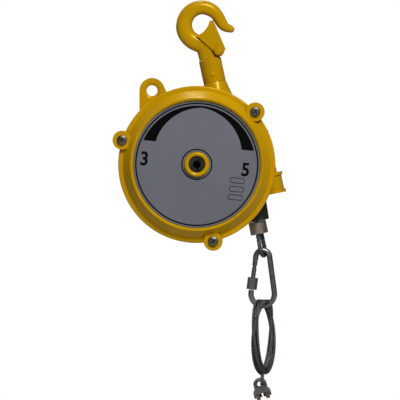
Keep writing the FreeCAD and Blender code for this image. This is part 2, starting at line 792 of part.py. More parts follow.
arbor = body("arbor")
turn(arbor, "XY_Plane", [
    (d.arbor_hollow, 0.8 - d.hub_front),
    (front_journal - 0.6, 0.8 - d.hub_front),
    (front_journal, 1.4 - d.hub_front),
    (front_journal, cover_back + 0.2),
    (d.arbor_radius, cover_back + 0.2),
    (d.arbor_radius, d.web_front - d.free_gap),
    (d.journal_radius, d.web_front - d.free_gap),
    (d.journal_radius, back_journal_front - 0.4),
    (back_journal, back_journal_front - 0.4),
    (back_journal, d.housing_depth + 1),
    (0, d.housing_depth + 1),
    (0, 12 - d.hub_front),
    (d.arbor_hollow, 12 - d.hub_front),
])
slit = sketch(arbor, "XZ_Plane", lift=d.hub_front)
outline(slit, [(-0.5, -d.hub_bore - 1), (0.5, -d.hub_bore - 1), (0.5, -2), (-0.5, -2)])
pad(arbor, slit, 4, cut=True)
key_slot = sketch(arbor, "XZ_Plane", lift=d.cup_front)
outline(key_slot, [
    (d.arbor_radius - 3, -0.6), (d.arbor_radius + 1, -0.6), (d.arbor_radius + 1, 0.6), (d.arbor_radius - 3, 0.6),
])
pad(arbor, key_slot, d.cup_front + d.web_front - d.free_gap, cut=True)
hang_in_casing(arbor)

back_bush = body("arbor_bush")
ring = sketch(back_bush, "XZ_Plane", lift=-(d.housing_depth + 1))
circles(ring, [(0, 0, d.hub_bore + d.bush_wall), (0, 0, d.hub_bore)])
pad(back_bush, ring, d.housing_depth + 1 - back_journal_front)
hang_in_casing(back_bush)

drum_bush = body("drum_bush")
ring = sketch(drum_bush, "XZ_Plane", lift=-d.drum_hub_back)
circles(ring, [(0, 0, bush_outer), (0, 0, d.journal_radius + d.running_gap)])
pad(drum_bush, ring, d.drum_hub_back - d.web_front)
hang_in_casing(drum_bush)


def rope_line(turns):
    """Radius and depth of the rope's centre after so many turns, counted from the rope's exit."""
    return d.rope_offset + d.rope_rise * turns, d.suspension_depth - d.rope_pitch * turns


def ridge(turns):
    radius, depth = rope_line(turns - 0.5)
    return radius - d.rope_radius / 4, depth


# A cast cup that holds the spring; the rope lies in the grooves of its tapered face
rope_turns = int(float(d.rope_turns))
groove_radius = -(d.rope_pitch / 2 + 0.3)
web_back = d.web_front + d.web_thickness
first_ridge = ridge(0)
last_ridge = ridge(rope_turns)
drum = body("rope_drum")
turn(drum, "XY_Plane", [
    (bush_outer, d.web_front),
    (d.cup_radius, d.web_front),
    (last_ridge[0] - 4, -d.cup_front),
    (last_ridge[0] + d.flange_lift, -d.cup_front),
    (last_ridge[0] + d.flange_lift, last_ridge[1] - 1.2),
    (last_ridge[0], last_ridge[1]),
    *[(*ridge(turns), groove_radius) for turns in range(rope_turns - 1, -1, -1)],
    (first_ridge[0] + d.flange_lift, first_ridge[1] + 1.2),
    (first_ridge[0] + d.flange_lift, first_ridge[1] + 3.2),
    (d.cup_radius, first_ridge[1] + 3.2),
    (d.cup_radius - 1, web_back),
    (bush_outer + 5.5, web_back),
    (bush_outer + 4, d.drum_hub_back),
    (bush_outer, d.drum_hub_back),
])
lightening = sketch(drum, "XZ_Plane", lift=-web_back)
circles(lightening, [
    (27.5 * cosine(angle), 27.5 * sine(angle), 6) for angle in range(36, 396, 72)
])
pad(drum, lightening, d.web_thickness, cut=True, backwards=True)
hang_in_casing(drum)

drum_plate = body("drum_plate")
ring = sketch(drum_plate, "XZ_Plane", lift=d.cup_front)
circles(ring, [(0, 0, last_ridge[0] + d.flange_lift), (0, 0, d.arbor_radius + d.free_gap)])
pad(drum_plate, ring, d.cover_plate)
hang_in_casing(drum_plate)

plate_screw_circle = float(last_ridge[0])
plate_screws = []
for angle in (0, 90, 180, 270):
    place = Vector(
        plate_screw_circle * math.cos(math.radians(angle)),
        float(plate_front),
        plate_screw_circle * math.sin(math.radians(angle)),
    )
    plate_screws.append(turned_shape([(0, 0), (2.2, 0), (1.6, 0.5), (0, 0.5)], place, FRONT))
hang_in_casing(shaped("plate_rivets", Part.Compound(plate_screws)))

# Rope wound on the drum: one ring in each groove, and a last part-turn that ends where the rope leaves
windings = []
for turns in range(rope_turns):
    radius, depth = rope_line(turns)
    sweep = 330 if turns == 0 else 360
    winding = Part.makeTorus(float(radius), float(d.rope_radius), Vector(0, 0, 0), UP, 0, 360, sweep)
    winding.Placement = FreeCAD.Placement(Vector(0, float(depth), 0), FreeCAD.Rotation(RIGHT, 90))
    windings.append(winding)
hang_in_casing(shaped("rope_winding", Part.Compound(windings)))


def spiral_arcs(inside, pitch, half_turns, lift):
    """A flat spiral made of half circles about two centres, lifted outwards by the strip's thickness."""
    arcs = []
    for half in range(half_turns):
        way = 1 if half % 2 == 0 else -1
        centre = -way * pitch / 4
        radius = inside + pitch / 4 + half * pitch / 2 + lift
        arcs.append(Part.Arc(
            Vector(centre + way * radius, 0, 0),
            Vector(centre, 0, way * radius),
            Vector(centre - way * radius, 0, 0),
        ).toShape())
    return arcs


# The flat spring strip lies wound between the arbor and the drum's cup
strip = float(d.spring_strip)
half_turns = 2 * int(float(d.spring_turns))
coil_start = float(d.arbor_radius + d.free_gap)
coil_pitch = (float(d.cup_radius) - strip - coil_start) / (half_turns / 2)
near = spiral_arcs(coil_start, coil_pitch, half_turns, 0)
far = spiral_arcs(coil_start, coil_pitch, half_turns, strip)
near_ends = [near[0].Vertexes[0].Point, near[-1].Vertexes[-1].Point]
far_ends = [far[0].Vertexes[0].Point, far[-1].Vertexes[-1].Point]
spring_face = Part.Face(Part.Wire(Part.sortEdges([
    *near, *far, Part.makeLine(near_ends[0], far_ends[0]), Part.makeLine(near_ends[1], far_ends[1])
])[0]))
spring_back = float(d.web_front) - 0.6
spring = spring_face.extrude(BACK * (spring_back + float(d.cup_front) - 0.6))
spring.translate(FRONT * (float(d.cup_front) - 0.6))
hang_in_casing(shaped("spiral_spring", spring))


# ---- worm wheel, worm and its screwed bush ----------------------------------------------------------


def gear_outline(turn_by, depth):
    """One end of the wheel: straight-flanked teeth that match the worm's thread."""
    module = float(d.gear_module)
    teeth = int(float(d.wheel_teeth))
    pitch_radius = module * teeth / 2
    root = pitch_radius - 1.2 * module
    crest = pitch_radius + 0.9 * module
    slope = math.tan(math.radians(20))
    half_tooth = math.pi * module / 4 - 0.18
    points = []
    for tooth in range(teeth):
        middle = 2 * math.pi * (tooth + 0.5) / teeth + math.radians(turn_by)
        for radius, side in ((root, -1), (crest, -1), (crest, 1), (root, 1)):
            half = (half_tooth - (radius - pitch_radius) * slope) / radius
            angle = middle + side * half
            points.append(Vector(radius * math.cos(angle), depth, radius * math.sin(angle)))
    return Part.makePolygon(points + points[:1])


wheel_radius = float(d.gear_module * d.wheel_teeth) / 2
lead_slope = float(d.gear_module) / (2 * float(d.worm_pitch_radius))
half_width = float(d.wheel_width) / 2
half_twist = math.degrees(half_width * lead_slope / wheel_radius)
wheel_middle = float(worm_y)
wheel = Part.makeLoft([
    gear_outline(half_twist, wheel_middle - half_width), gear_outline(-half_twist, wheel_middle + half_width)
], True, True)
for side in (FRONT, BACK):
    face_middle = Vector(0, wheel_middle, 0) + side * (half_width + 1)
    ring = rod(wheel_radius - 8, face_middle, face_middle - side * 2.8)
    ring = ring.cut(rod(float(d.journal_radius) + 7, face_middle, face_middle - side * 3))
    wheel = wheel.cut(ring)
wheel_axis_front = Vector(0, float(wheel_front) - 1, 0)
wheel_axis_back = Vector(0, float(wheel_front + d.wheel_width) + 1, 0)
wheel = wheel.cut(rod(d.journal_radius, wheel_axis_front, wheel_axis_back))
for angle in range(0, 360, 60):
    middle = Vector(35 * math.cos(math.radians(angle)), 0, 35 * math.sin(math.radians(angle)))
    wheel = wheel.cut(rod(11, wheel_axis_front + middle, wheel_axis_back + middle))
hang_in_casing(shaped("worm_wheel", wheel))

worm_foot = Vector(float(worm_x), float(worm_y), 0)
thread_pitch = math.pi * float(d.gear_module)
thread_half = thread_pitch / 4 - 0.18
thread_slope = math.tan(math.radians(20))
core = float(d.worm_pitch_radius) - 1.2 * float(d.gear_module)
crest = float(d.worm_pitch_radius) + 0.9 * float(d.gear_module)
thread_turns = 3
thread_rise = thread_pitch * thread_turns


def thread_at(radius, side):
    offset = thread_half - (radius - float(d.worm_pitch_radius)) * thread_slope
    return Vector(radius, 0, side * offset)


thread_profile = Part.makePolygon([
    thread_at(core - 0.3, -1), thread_at(crest, -1), thread_at(crest, 1), thread_at(core - 0.3, 1),
    thread_at(core - 0.3, -1),
])
thread_path = Part.Wire(Part.makeHelix(thread_pitch, thread_rise, float(d.worm_pitch_radius)).Edges)
thread = thread_path.makePipeShell([thread_profile], True, True)
thread.translate(DOWN * (thread_rise / 2))
half_worm = float(d.worm_length) / 2
collar_rise = float(d.worm_exit) - 21
worm = rod(core, DOWN * half_worm, UP * half_worm).fuse([
    thread,
    rod(d.worm_journal, UP * half_worm, UP * (half_worm + float(d.worm_journal))),
    rod(d.worm_journal, DOWN * half_worm, DOWN * collar_rise),
    rod(float(worm_tip) - 0.6, DOWN * collar_rise, DOWN * (collar_rise + 3)),
    rod(d.worm_journal + 1, DOWN * (collar_rise + 3), DOWN * (float(d.worm_exit) - 1.5)),
])
socket = hexagon(d.worm_key_flats, 7, DOWN * float(d.worm_exit))
worm = worm.cut(socket)
worm.translate(worm_foot)
hang_in_casing(shaped("worm", worm))

worm_bush = rod(worm_bore, DOWN * (float(d.worm_exit) - 0.5), DOWN * (collar_rise + 3.3))
worm_bush = worm_bush.cut(rod(d.worm_journal + 1 + d.running_gap, DOWN * (float(d.worm_exit) + 1), DOWN * 10))
worm_bush.translate(worm_foot)
hang_in_casing(shaped("worm_bush", worm_bush))


# ---- rope guide, rope, ferrule and eye --------------------------------------------------------------

rope_axis = Vector(float(d.rope_offset), float(d.suspension_depth), 0)

guide = turned_shape([
    (d.guide_bore, -d.guide_seat + 8), (d.guide_spigot, -d.guide_seat + 8), (d.guide_spigot, -d.guide_seat),
    (d.guide_top_radius, -d.guide_seat), (d.guide_end_radius, 1 - d.guide_end),
    (d.guide_end_radius - 1, -d.guide_end), (d.guide_bore + 1.5, -d.guide_end), (d.guide_bore, 2.5 - d.guide_end),
], rope_axis)
hang_in_casing(shaped("rope_guide", guide))

rope_run = rod(d.rope_radius, rope_axis + DOWN * 0.5, rope_axis + DOWN * float(d.ferrule_top))
hang_in_casing(shaped("rope_run", rope_run))

ferrule = turned_shape([
    (0, -d.ferrule_top), (d.ferrule_radius - 0.6, -d.ferrule_top), (d.ferrule_radius, -d.ferrule_top - 0.6),
    (d.ferrule_radius, 0.5 - d.ferrule_end), (d.ferrule_radius - 0.5, -d.ferrule_end), (0, -d.ferrule_end),
], rope_axis)
hang_in_casing(shaped("ferrule", ferrule))

# The eye hangs from the ferrule's end, turned a little about its own length
ferrule_foot = casing_place.multVec(rope_axis + DOWN * float(d.ferrule_end))
eye_radius = float(d.wire_radius + d.rope_radius) + 1.25
eye_drop = float(d.eye_drop) - 0.15
eye_top = 4.6
eye_side = math.atan2(eye_radius - eye_top, eye_drop)
out = Vector(0, math.cos(eye_side), math.sin(eye_side)) * eye_radius
front_end = Vector(0, -eye_top, 4)
back_end = Vector(0, eye_top, 4)
left = Vector(0, -out.y, out.z - eye_drop)
right = Vector(0, out.y, out.z - eye_drop)
eye_wire = Part.Wire([
    Part.LineSegment(front_end, left).toShape(),
    Part.Arc(left, Vector(0, 0, -eye_drop - eye_radius), right).toShape(),
    Part.LineSegment(right, back_end).toShape(),
])
eye_ring = Part.Wire([Part.makeCircle(float(d.rope_radius), front_end, left - front_end)])
eye = eye_wire.makePipeShell([eye_ring], True, False)
eye.rotate(Vector(0, 0, 0), UP, -float(d.eye_turn))
eye.rotate(Vector(0, 0, 0), BACK, -float(d.eye_lean))
ferrule_keep = rod(30, DOWN * 0, UP * 30)
ferrule_keep.rotate(Vector(0, 0, 0), BACK, -float(d.hang_tilt))
eye = eye.cut(ferrule_keep)
shaped("rope_eye", eye).Placement = FreeCAD.Placement(ferrule_foot, FreeCAD.Rotation())


# ---- screw carabiner --------------------------------------------------------------------------------
# Laid out from the centre of its top bow, which is also the point it swings about

lean_way = FreeCAD.Rotation(BACK, -float(d.eye_lean))
wire_top = ferrule_foot + lean_way.multVec(DOWN * float(d.eye_drop))
swing_centre = wire_top + DOWN * float(d.carabiner_top_radius)
carabiner_place = FreeCAD.Placement(swing_centre, FreeCAD.Rotation())
top_side, base_side, side_lean = pear_points(
    float(d.carabiner_top_radius), float(d.carabiner_base_radius), float(d.carabiner_spread)
)


def mirrored(point):
    return Vector(-point.x, point.y, point.z)


top_left = mirrored(top_side)
base_left = mirrored(base_side)
gate_way = (base_left - top_left).normalize()
hinge = top_left + gate_way * float(d.gate_top)
gate_end = hinge + gate_way * float(d.gate_length)
base_low = Vector(0, 0, -float(d.carabiner_spread + d.carabiner_base_radius))
frame_edges = [
    Part.LineSegment(gate_end + gate_way * 0.3, base_left).toShape(),
    Part.Arc(base_left, base_low, base_side).toShape(),
    Part.LineSegment(base_side, top_side).toShape(),
    Part.Arc(top_side, Vector(0, 0, float(d.carabiner_top_radius)), top_left).toShape(),
    Part.LineSegment(top_left, hinge + gate_way * 2.2).toShape(),
]
frame_ring = Part.Wire([Part.makeCircle(float(d.wire_radius), gate_end + gate_way * 0.3, gate_way)])
carabiner = Part.Wire(frame_edges).makePipeShell([frame_ring], True, False)
gate_out = BACK.cross(gate_way)
if gate_out.x > 0:
    gate_out = gate_out * -1
slot_box = Part.makeBox(12, 2.5, 8.4, Vector(-6, -1.25, -4.8))
slot_box.Placement = FreeCAD.Placement(hinge, FreeCAD.Rotation(DOWN, gate_way))
pin_bore = rod(0.9, hinge + FRONT * 5, hinge + BACK * 5)
carabiner = carabiner.cut([slot_box, pin_bore])
shaped("carabiner", carabiner).Placement = carabiner_place

# The gate is a threaded rod with a flat tongue on the hinge pin
tongue = Part.makeBox(3.6, 2.1, 6.2, Vector(-1.8, -1.05, -4.4))
tongue.Placement = FreeCAD.Placement(hinge, FreeCAD.Rotation(DOWN, gate_way))
tongue = tongue.common(rod(1.8, hinge + FRONT * 3, hinge + BACK * 3).fuse(
    rod(1.8, hinge, hinge + gate_way * 5)))
gate_rod = rod(d.gate_radius, hinge + gate_way * 3.9, gate_end)
gate = gate_rod.fuse(tongue).cut(rod(0.95, hinge + FRONT * 5, hinge + BACK * 5))
shaped("gate", gate).Placement = carabiner_place
gate_pin = rod(0.9, hinge + FRONT * 2.5, hinge + BACK * 2.5)
shaped("gate_pin", gate_pin).Placement = carabiner_place

nut_reach = float(d.gate_nut_length)
nut_start = gate_end - gate_way * (nut_reach + 0.5)
gate_nut = hexagon(d.gate_nut_flats, nut_reach, nut_start, gate_way)
gate_nut = gate_nut.cut([
    rod(d.gate_radius + d.running_gap, nut_start - gate_way, gate_end),
    rod(d.wire_radius + 0.2, gate_end - gate_way * 8, gate_end + gate_way),
])
shaped("gate_nut", gate_nut).Placement = carabiner_place


# ---- safety rope and its wire-rope clip -------------------------------------------------------------

rope_hold = swing_centre + base_low
hank_centre = rope_hold + Vector(0.6, 0, 7.6 - float(d.hank_half_height))
hank_turn = math.radians(float(d.hank_turn))
hank_out = Vector(math.cos(hank_turn), math.sin(hank_turn), 0)


def hank_section(angle):
    """One cross-section of the hank: thin where it crosses the carabiner, thick at the bottom."""
    place = math.radians(angle)
    bundle = 2.5 + 1.9 * min(1.0, (1 - math.cos(place)) * 0.9) + 0.6 * (1 - math.cos(place)) / 2
    centre = hank_out * (float(d.hank_half_width) * math.sin(place))
    centre = centre + UP * (float(d.hank_half_height) * math.cos(place))
    run = hank_out * (float(d.hank_half_width) * math.cos(place))
    run = run - UP * (float(d.hank_half_height) * math.sin(place))
    return Part.Wire([Part.makeCircle(bundle, centre, run)])


hank = Part.makeLoft([hank_section(angle) for angle in range(0, 360, 30)], True, False, True)
shaped("safety_hank", hank).Placement = FreeCAD.Placement(hank_centre, FreeCAD.Rotation())

clip_place = FreeCAD.Placement(
    rope_hold + Vector(float(d.clip_shift), 0, -float(d.clip_drop)),
    FreeCAD.Rotation(BACK, -float(d.clip_roll)),
)
clip_low = clip_place.Base
tail = tube([
    clip_low + Vector(1.2, -1.5, 13.5),
    clip_low + Vector(0.4, -6.0, 8.0),
    clip_low + Vector(0, -7.0, 0.3),
    clip_low + Vector(0, 0, 0),
    clip_low + Vector(0, 7.0, 0),
], d.rope_radius, None)
shaped("safety_tail", tail)

half_span = float(d.clip_span) / 2
leg_foot = -14.9
bolt_wire = Part.Wire([
    Part.LineSegment(Vector(-half_span, 0, leg_foot), Vector(-half_span, 0, 0)).toShape(),
    Part.Arc(Vector(-half_span, 0, 0), Vector(0, 0, half_span), Vector(half_span, 0, 0)).toShape(),
    Part.LineSegment(Vector(half_span, 0, 0), Vector(half_span, 0, leg_foot)).toShape(),
])
bolt_ring = Part.Wire([Part.makeCircle(float(d.clip_rod), Vector(-half_span, 0, leg_foot), UP)])
shaped("clip_bolt", bolt_wire.makePipeShell([bolt_ring], True, False)).Placement = clip_place

saddle_face = Part.Face(Part.makePolygon([
    Vector(-half_span - 3.4, 0, -5.4), Vector(-half_span - 4.2, 0, -8.8), Vector(half_span + 4.2, 0, -8.8),
    Vector(half_span + 3.4, 0, -5.4), Vector(half_span - 2.2, 0, -1.0), Vector(-half_span + 2.2, 0, -1.0),
    Vector(-half_span - 3.4, 0, -5.4),
]))
saddle = saddle_face.translated(FRONT * 4.6).extrude(BACK * 9.2)
saddle = saddle.cut([
    rod(d.clip_rod + 0.15, Vector(-half_span, 0, -12), Vector(-half_span, 0, 2)),
    rod(d.clip_rod + 0.15, Vector(half_span, 0, -12), Vector(half_span, 0, 2)),
    rod(d.rope_radius + 0.05, FRONT * 8, BACK * 8),
])
shaped("clip_saddle", saddle).Placement = clip_place

clip_nuts = []
for side in (-1, 1):
    foot = Vector(side * half_span, 0, -12.6)
    nut = hexagon(7.0, 3.6, foot, UP, 12 * side)
    clip_nuts.append(nut.cut(rod(d.clip_rod, foot - UP, foot + UP * 5)))
shaped("clip_nuts", Part.Compound(clip_nuts)).Placement = clip_place


# ---- checks and files -------------------------------------------------------------------------------

document.recompute()
faults = []
for item in document.Objects:
    if "Invalid" in item.State or "Error" in item.State:
        faults.append(f"{item.Label}: {item.State}")
for piece in pieces:
    if piece.Shape.isNull() or not piece.Shape.isValid() or not piece.Shape.Solids:
        faults.append(f"{piece.Label}: its shape is empty or not valid")
    for feature in piece.Group if piece.isDerivedFrom("PartDesign::Body") else []:
        if "Groove" in feature.TypeId or "Pocket" in feature.TypeId or "Subtractive" in feature.TypeId:
            if feature.Shape.Volume > feature.BaseFeature.Shape.Volume - 0.01:
                faults.append(f"{piece.Label}: {feature.Name} cuts nothing")
if faults:
    raise SystemExit("\n".join(faults))

os.makedirs("parts", exist_ok=True)
for piece in pieces:
    piece.Shape.exportStep(f"parts/{piece.Label}.step")
    print(f"{piece.Label}: {len(piece.Shape.Solids)} solid, {piece.Shape.Volume / 1000:.2f} cm3")
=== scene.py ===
import json
import math

import bmesh
import bpy
from mathutils import Matrix, Vector


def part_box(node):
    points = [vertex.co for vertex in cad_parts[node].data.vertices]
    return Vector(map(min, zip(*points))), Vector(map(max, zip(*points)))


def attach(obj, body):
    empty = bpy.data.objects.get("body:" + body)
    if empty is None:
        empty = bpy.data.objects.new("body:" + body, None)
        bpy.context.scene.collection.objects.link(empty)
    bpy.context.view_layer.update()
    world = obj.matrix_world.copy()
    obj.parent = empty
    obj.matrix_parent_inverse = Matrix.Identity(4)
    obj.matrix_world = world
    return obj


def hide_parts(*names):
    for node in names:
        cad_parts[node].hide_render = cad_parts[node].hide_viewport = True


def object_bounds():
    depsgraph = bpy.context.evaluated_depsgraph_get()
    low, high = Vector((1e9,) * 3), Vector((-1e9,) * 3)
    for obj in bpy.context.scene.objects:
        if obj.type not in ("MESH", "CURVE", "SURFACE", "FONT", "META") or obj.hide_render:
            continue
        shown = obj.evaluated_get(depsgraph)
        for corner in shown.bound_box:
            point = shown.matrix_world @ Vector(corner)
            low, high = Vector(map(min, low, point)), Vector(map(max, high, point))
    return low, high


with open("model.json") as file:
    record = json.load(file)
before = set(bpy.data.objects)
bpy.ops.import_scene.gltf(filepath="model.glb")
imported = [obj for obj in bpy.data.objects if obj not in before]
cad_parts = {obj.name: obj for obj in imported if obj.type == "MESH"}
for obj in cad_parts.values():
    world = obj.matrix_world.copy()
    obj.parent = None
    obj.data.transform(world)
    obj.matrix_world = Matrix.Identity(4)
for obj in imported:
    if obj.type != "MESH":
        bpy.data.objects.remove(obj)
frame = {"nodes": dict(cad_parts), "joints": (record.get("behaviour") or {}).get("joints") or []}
cad_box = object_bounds()
MM = 0.001

# ---- Studio -------------------------------------------------------------------------------------
# The balancer hangs by its hook in front of a plain pale ground, seen square on to its label.
# A wide soft light stands high in front, a narrow one above, and a weak one behind on the left.

view_width = 0.392

camera = bpy.data.objects.new("camera", bpy.data.cameras.new("camera"))
camera.location = (-2.45 * MM, -10.02, -182.3 * MM)
camera.rotation_euler = (math.radians(90), 0, 0)
camera.data.sensor_width = 36
camera.data.lens = 36 * 10.0 / view_width
camera.data.clip_end = 60
bpy.context.scene.collection.objects.link(camera)
bpy.context.scene.camera = camera
bpy.context.scene.view_settings.view_transform = "Standard"


def soft_light(name, place, aim, width, height, power):
    lamp = bpy.data.lights.new(name, "AREA")
    lamp.shape = "RECTANGLE"
    lamp.size = width
    lamp.size_y = height
    lamp.energy = power
    lamp_object = bpy.data.objects.new(name, lamp)
    lamp_object.location = place
    lamp_object.rotation_euler = (Vector(aim) - Vector(place)).to_track_quat("-Z", "Y").to_euler()
    bpy.context.scene.collection.objects.link(lamp_object)


soft_light("front_panel", (0.4, -1.35, 1.0), (0, 0, -0.2), 0.7, 0.6, 26)
soft_light("top_panel", (-0.05, 0.2, 0.95), (0, 0, -0.1), 0.3, 0.12, 1.8)
soft_light("back_panel", (-0.8, 1.2, 0.6), (0, 0, -0.2), 1.2, 1.2, 6)


world = bpy.data.worlds.new("studio")
world.use_nodes = True
bpy.context.scene.world = world
backdrop = world.node_tree
sky = backdrop.nodes["Background"]
sky.inputs["Color"].default_value = (0.95, 0.97, 1, 1)
sky.inputs["Strength"].default_value = 0.09

# Camera and glass rays see plain white; all other rays see the dim sky
seen = backdrop.nodes.new("ShaderNodeLightPath")
bright = backdrop.nodes.new("ShaderNodeMath")
bright.operation = "MAXIMUM"
backdrop.links.new(seen.outputs["Is Camera Ray"], bright.inputs[0])
backdrop.links.new(seen.outputs["Is Transmission Ray"], bright.inputs[1])
white = backdrop.nodes.new("ShaderNodeBackground")
white.inputs["Color"].default_value = (1, 1, 1, 1)
white.inputs["Strength"].default_value = 1
mix = backdrop.nodes.new("ShaderNodeMixShader")
backdrop.links.new(bright.outputs[0], mix.inputs[0])
backdrop.links.new(sky.outputs[0], mix.inputs[1])
backdrop.links.new(white.outputs[0], mix.inputs[2])
backdrop.links.new(mix.outputs[0], backdrop.nodes["World Output"].inputs["Surface"])

floor_mesh = bpy.data.meshes.new("floor")
floor_level = cad_box[0][2] - 0.07
floor_half = 1.3
corners = ((-1, -1), (1, -1), (1, 1), (-1, 1))
floor_mesh.from_pydata(
    [(x * floor_half, y * floor_half, floor_level) for x, y in corners], [], [(0, 1, 2, 3)]
)
floor = bpy.data.objects.new("floor", floor_mesh)
bpy.context.scene.collection.objects.link(floor)
pale = bpy.data.materials.new("pale_floor")
pale.use_nodes = True
pale.node_tree.nodes["Principled BSDF"].inputs["Base Color"].default_value = (0.5, 0.5, 0.5, 1)
pale.node_tree.nodes["Principled BSDF"].inputs["Roughness"].default_value = 0.9
floor_mesh.materials.append(pale)

# ---- Die-cast casing ----------------------------------------------------------------------------
# Front cover and rear housing are pressure die castings with gloss yellow stoving enamel, which is
# a little lighter on the edges where it wears, and faintly orange-peeled; the corners get painted
# shade.


def group_of(name, inputs, outputs):
    """A shader node group with named sockets: its tree, its input node and its output node."""
    group = bpy.data.node_groups.new(name, "ShaderNodeTree")
    for label, value in inputs.items():
        kind = "NodeSocketColor" if isinstance(value, tuple) else "NodeSocketFloat"
        socket = group.interface.new_socket(name=label, in_out="INPUT", socket_type=kind)
        socket.default_value = value
    for label, kind in outputs.items():
        group.interface.new_socket(name=label, in_out="OUTPUT", socket_type=kind)
    return group, group.nodes.new("NodeGroupInput"), group.nodes.new("NodeGroupOutput")


def node_in(tree, kind, values=None, **settings):
    """A node with its settings; values are plain numbers or the sockets to link in."""
    node = tree.nodes.new(kind)
    for setting, value in settings.items():
        setattr(node, setting, value)
    for key, value in (values or {}).items():
        if isinstance(value, bpy.types.NodeSocket):
            tree.links.new(value, node.inputs[key])
        else:
            node.inputs[key].default_value = value
    return node


def between(tree, source, low, high, new_low=0.0, new_high=1.0):
    """The source value stretched from one range to another, and held there."""
    return node_in(tree, "ShaderNodeMapRange", {
        "Value": source, "From Min": low, "From Max": high, "To Min": new_low, "To Max": new_high,
    }).outputs["Result"]


def times(tree, first, second):
    return node_in(tree, "ShaderNodeMath", {0: first, 1: second}, operation="MULTIPLY").outputs[0]


def mottle_group():
    """Soft unevenness in two sizes: one value to colour with and one height to raise."""
    group, start, end = group_of("mottle", {"Size": 40.0, "Grain": 600.0}, {
        "Value": "NodeSocketFloat", "Height": "NodeSocketFloat",
    })
    place = node_in(group, "ShaderNodeTexCoord").outputs["Object"]
    cloud = node_in(group, "ShaderNodeTexNoise", {
        "Vector": place, "Scale": start.outputs["Size"], "Detail": 4.0,
    })
    peel = node_in(group, "ShaderNodeTexNoise", {
        "Vector": place, "Scale": start.outputs["Grain"], "Detail": 2.0,
    })
    group.links.new(cloud.outputs["Fac"], end.inputs["Value"])
    group.links.new(peel.outputs["Fac"], end.inputs["Height"])
    return group


def edges_group():
    """Finds outer edges, where paint wears, and inner corners, which are darkened as painted shade.
    """
    group, start, end = group_of("edges_and_corners", {"Width": 0.8 * MM}, {
        "Edge": "NodeSocketFloat", "Corner": "NodeSocketFloat",
    })
    plain = node_in(group, "ShaderNodeNewGeometry").outputs["Normal"]
    bevel = node_in(group, "ShaderNodeBevel", {"Radius": start.outputs["Width"]}, samples=4)
    rounded = bevel.outputs["Normal"]
    agree = node_in(group, "ShaderNodeVectorMath", {0: plain, 1: rounded}, operation="DOT_PRODUCT")
    turned = between(group, agree.outputs["Value"], 0.98, 0.8)
    # Ambient occlusion finds the inner corners; this mask paints shade into them
    around = node_in(group, "ShaderNodeAmbientOcclusion", {"Distance": 6 * MM}, samples=6)
    depth = around.outputs["AO"]
    painted_corner_shade = between(group, depth, 0.75, 0.3)
    open_side = between(group, depth, 0.6, 0.9)
    group.links.new(times(group, turned, open_side), end.inputs["Edge"])
    group.links.new(painted_corner_shade, end.inputs["Corner"])
    return group


mottle = mottle_group()
edges_and_corners = edges_group()


def placed(tree, group, **values):
    node = tree.nodes.new("ShaderNodeGroup")
    node.node_tree = group
    for label, value in values.items():
        node.inputs[label].default_value = value
    return node


def blend_colours(tree, amount, first, second):
    mix = node_in(tree, "ShaderNodeMix", data_type="RGBA")
    for index, value in ((0, amount), (6, first), (7, second)):
        if isinstance(value, bpy.types.NodeSocket):
            tree.links.new(value, mix.inputs[index])
        else:
            mix.inputs[index].default_value = value if index == 0 else (*value, 1)
    return mix.outputs[2]


def start_material(name, roughness, metallic=0.0, coat=0.0):
    material = bpy.data.materials.new(name)
    material.use_nodes = True
    surface = material.node_tree.nodes["Principled BSDF"]
    surface.inputs["Roughness"].default_value = roughness
    surface.inputs["Metallic"].default_value = metallic
    surface.inputs["Coat Weight"].default_value = coat
    surface.inputs["Coat Roughness"].default_value = 0.08
    return material, material.node_tree, surface


def raise_surface(tree, surface, height, distance, strength=1.0):
    bump = node_in(tree, "ShaderNodeBump", {
        "Height": height, "Distance": distance, "Strength": strength,
    })
    tree.links.new(bump.outputs["Normal"], surface.inputs["Normal"])


def enamel(name, body_colour, worn_colour, shade_colour, peel=500.0):
    """Gloss enamel over metal."""
    material, tree, surface = start_material(name, 0.26, coat=0.12)
    surface.inputs["Specular IOR Level"].default_value = 0.45
    surface.inputs["Specular Tint"].default_value = (1, 0.78, 0.1, 1)
    uneven = placed(tree, mottle, Size=28.0, Grain=peel)
    found = placed(tree, edges_and_corners)
    shade = between(tree, uneven.outputs["Value"], 0.3, 0.7)
    darker = tuple(value * 0.86 for value in body_colour)
    colour = blend_colours(tree, shade, darker, body_colour)
    worn = times(tree, found.outputs["Edge"], 0.15)
    colour = blend_colours(tree, worn, colour, worn_colour)
    # The corners are blended towards the third colour: painted shade
    shade_weight = times(tree, found.outputs["Corner"], 0.45)
    tree.links.new(blend_colours(tree, shade_weight, colour, shade_colour), surface.inputs["Base Color"])
    rough = between(tree, uneven.outputs["Value"], 0.25, 0.75, 0.2, 0.3)
    tree.links.new(rough, surface.inputs["Roughness"])
    raise_surface(tree, surface, uneven.outputs["Height"], 0.01 * MM, 0.3)
    return material


def finish_node(name, material):
    """The CAD piece keeps its shape, gets its finish, and is shaded smooth up to its real edges."""
    mesh = frame["nodes"][name].data
    mesh.materials.clear()
    mesh.materials.append(material)
    mesh.polygons.foreach_set("use_smooth", [True] * len(mesh.polygons))
    mesh.set_sharp_from_angle(angle=math.radians(32))


# The last colour is the painted shade in the corners
casting_yellow = enamel(
    "casting_yellow", (0.66, 0.36, 0.0), (0.78, 0.47, 0.002), (0.15, 0.065, 0.0)
)
for piece in ("front_cover", "rear_housing", "worm_bush"):
    finish_node(piece, casting_yellow)

# ---- Hook, latch and swivel ---------------------------------------------------------------------
# The hook is drop forged, the latch pressed from sheet; both carry the same enamel, a little
# thicker, with its colour set darker than the casing's as painted shade on the hook. The swivel
# stem, nut and washer are turned and stay bare inside the casing's neck.

